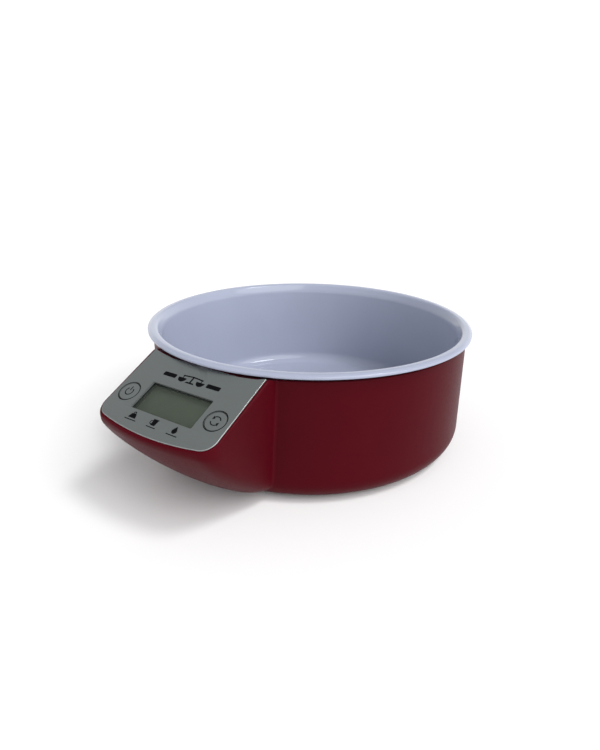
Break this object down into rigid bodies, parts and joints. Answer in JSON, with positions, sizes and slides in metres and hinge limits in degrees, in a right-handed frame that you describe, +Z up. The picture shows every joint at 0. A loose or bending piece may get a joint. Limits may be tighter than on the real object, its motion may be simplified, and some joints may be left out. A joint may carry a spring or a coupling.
{
  "type": "kitchen scale",
  "caption": "Round kitchen scale: a white lift-off bowl in a red tub housing with a sloped control panel, display and two keys, over a single-point load cell.",
  "frame": {"origin": "on the worktop, under the middle of the whole scale's box", "axes": "+Z up; the control panel faces -Y; +X is to the right of someone facing the panel"},
  "size_m": [0.19, 0.2278, 0.0702],
  "materials": {
    "red_plastic": "satin moulded red",
    "white_plastic": "glossy moulded cool white",
    "silver_overlay": "satin silver-grey film",
    "black_plastic": "fine matt texture",
    "clear_plastic": "clear polished",
    "lcd_glass": "grey-green reflective display",
    "board": "solder mask",
    "rubber": "matt",
    "steel": "zinc plated",
    "aluminium": "milled",
    "sealant": "soft white",
    "red_wire": "insulation",
    "black_wire": "insulation",
    "grey_cable": "insulation"
  },
  "bodies": {
    "housing": {"base_cover": "black_plastic", "base_screw_1": "steel", "base_screw_2": "steel", "base_screw_3": "steel", "base_screw_4": "steel", "battery_contact_side": "steel", "battery_contact_top": "steel", "battery_lead_black": "black_wire", "battery_lead_red": "red_wire", "board_screw_1": "steel", "board_screw_2": "steel", "board_screw_3": "steel", "board_screw_4": "steel", "cell_screw_1": "steel", "cell_screw_2": "steel", "coin_cell": "steel", "contact_strip_1": "rubber", "contact_strip_2": "rubber", "controller_chip": "black_plastic", "display_frame": "black_plastic", "display_window": "clear_plastic", "foot_back_left": "rubber", "foot_back_right": "rubber", "foot_front_left": "rubber", "foot_front_right": "rubber", "gauge_sealant": "sealant", "housing": "red_plastic", "lcd_module": "lcd_glass", "load_cell": "aluminium", "load_cell_cable": "grey_cable", "main_board": "board", "mode_switch": "black_plastic", "panel_overlay": "silver_overlay", "sensor_plug": "sealant", "zero_switch": "black_plastic"},
    "bowl": {"bowl": "white_plastic"},
    "platform": {"weighing_platform": "black_plastic", "platform_screw_1": "steel", "platform_screw_2": "steel"},
    "zero_key": {"zero_button": "silver_overlay", "zero_plunger": "black_plastic"},
    "mode_key": {"mode_button": "silver_overlay", "mode_plunger": "black_plastic"},
    "battery_door": {"battery_door": "black_plastic"}
  },
  "joints": [
    {"name": "platform_travel", "type": "slide", "parent": "housing", "child": "platform", "axis": [0, 0, 1], "range_m": [-0.0003, 0], "stiffness_N_per_m": 5000, "springref_m": 0.002, "deforming": ["load_cell"]},
    {"name": "bowl_lift", "type": "slide", "parent": "platform", "child": "bowl", "axis": [0, 0, 1], "range_m": [0, 0.08]},
    {"name": "zero_key_press", "type": "slide", "parent": "housing", "child": "zero_key", "axis": [0, 0.4493, -0.8934], "range_m": [0, 0.0004], "stiffness_N_per_m": 400, "springref_m": -0.002},
    {"name": "mode_key_press", "type": "slide", "parent": "housing", "child": "mode_key", "axis": [0, 0.4493, -0.8934], "range_m": [0, 0.0004], "stiffness_N_per_m": 400, "springref_m": -0.002},
    {"name": "battery_door_turn", "type": "hinge", "parent": "housing", "child": "battery_door", "pos_m": [0, 0.06389, 0.002], "axis": [0, 0, 1], "range_deg": [-50, 0]}
  ]
}
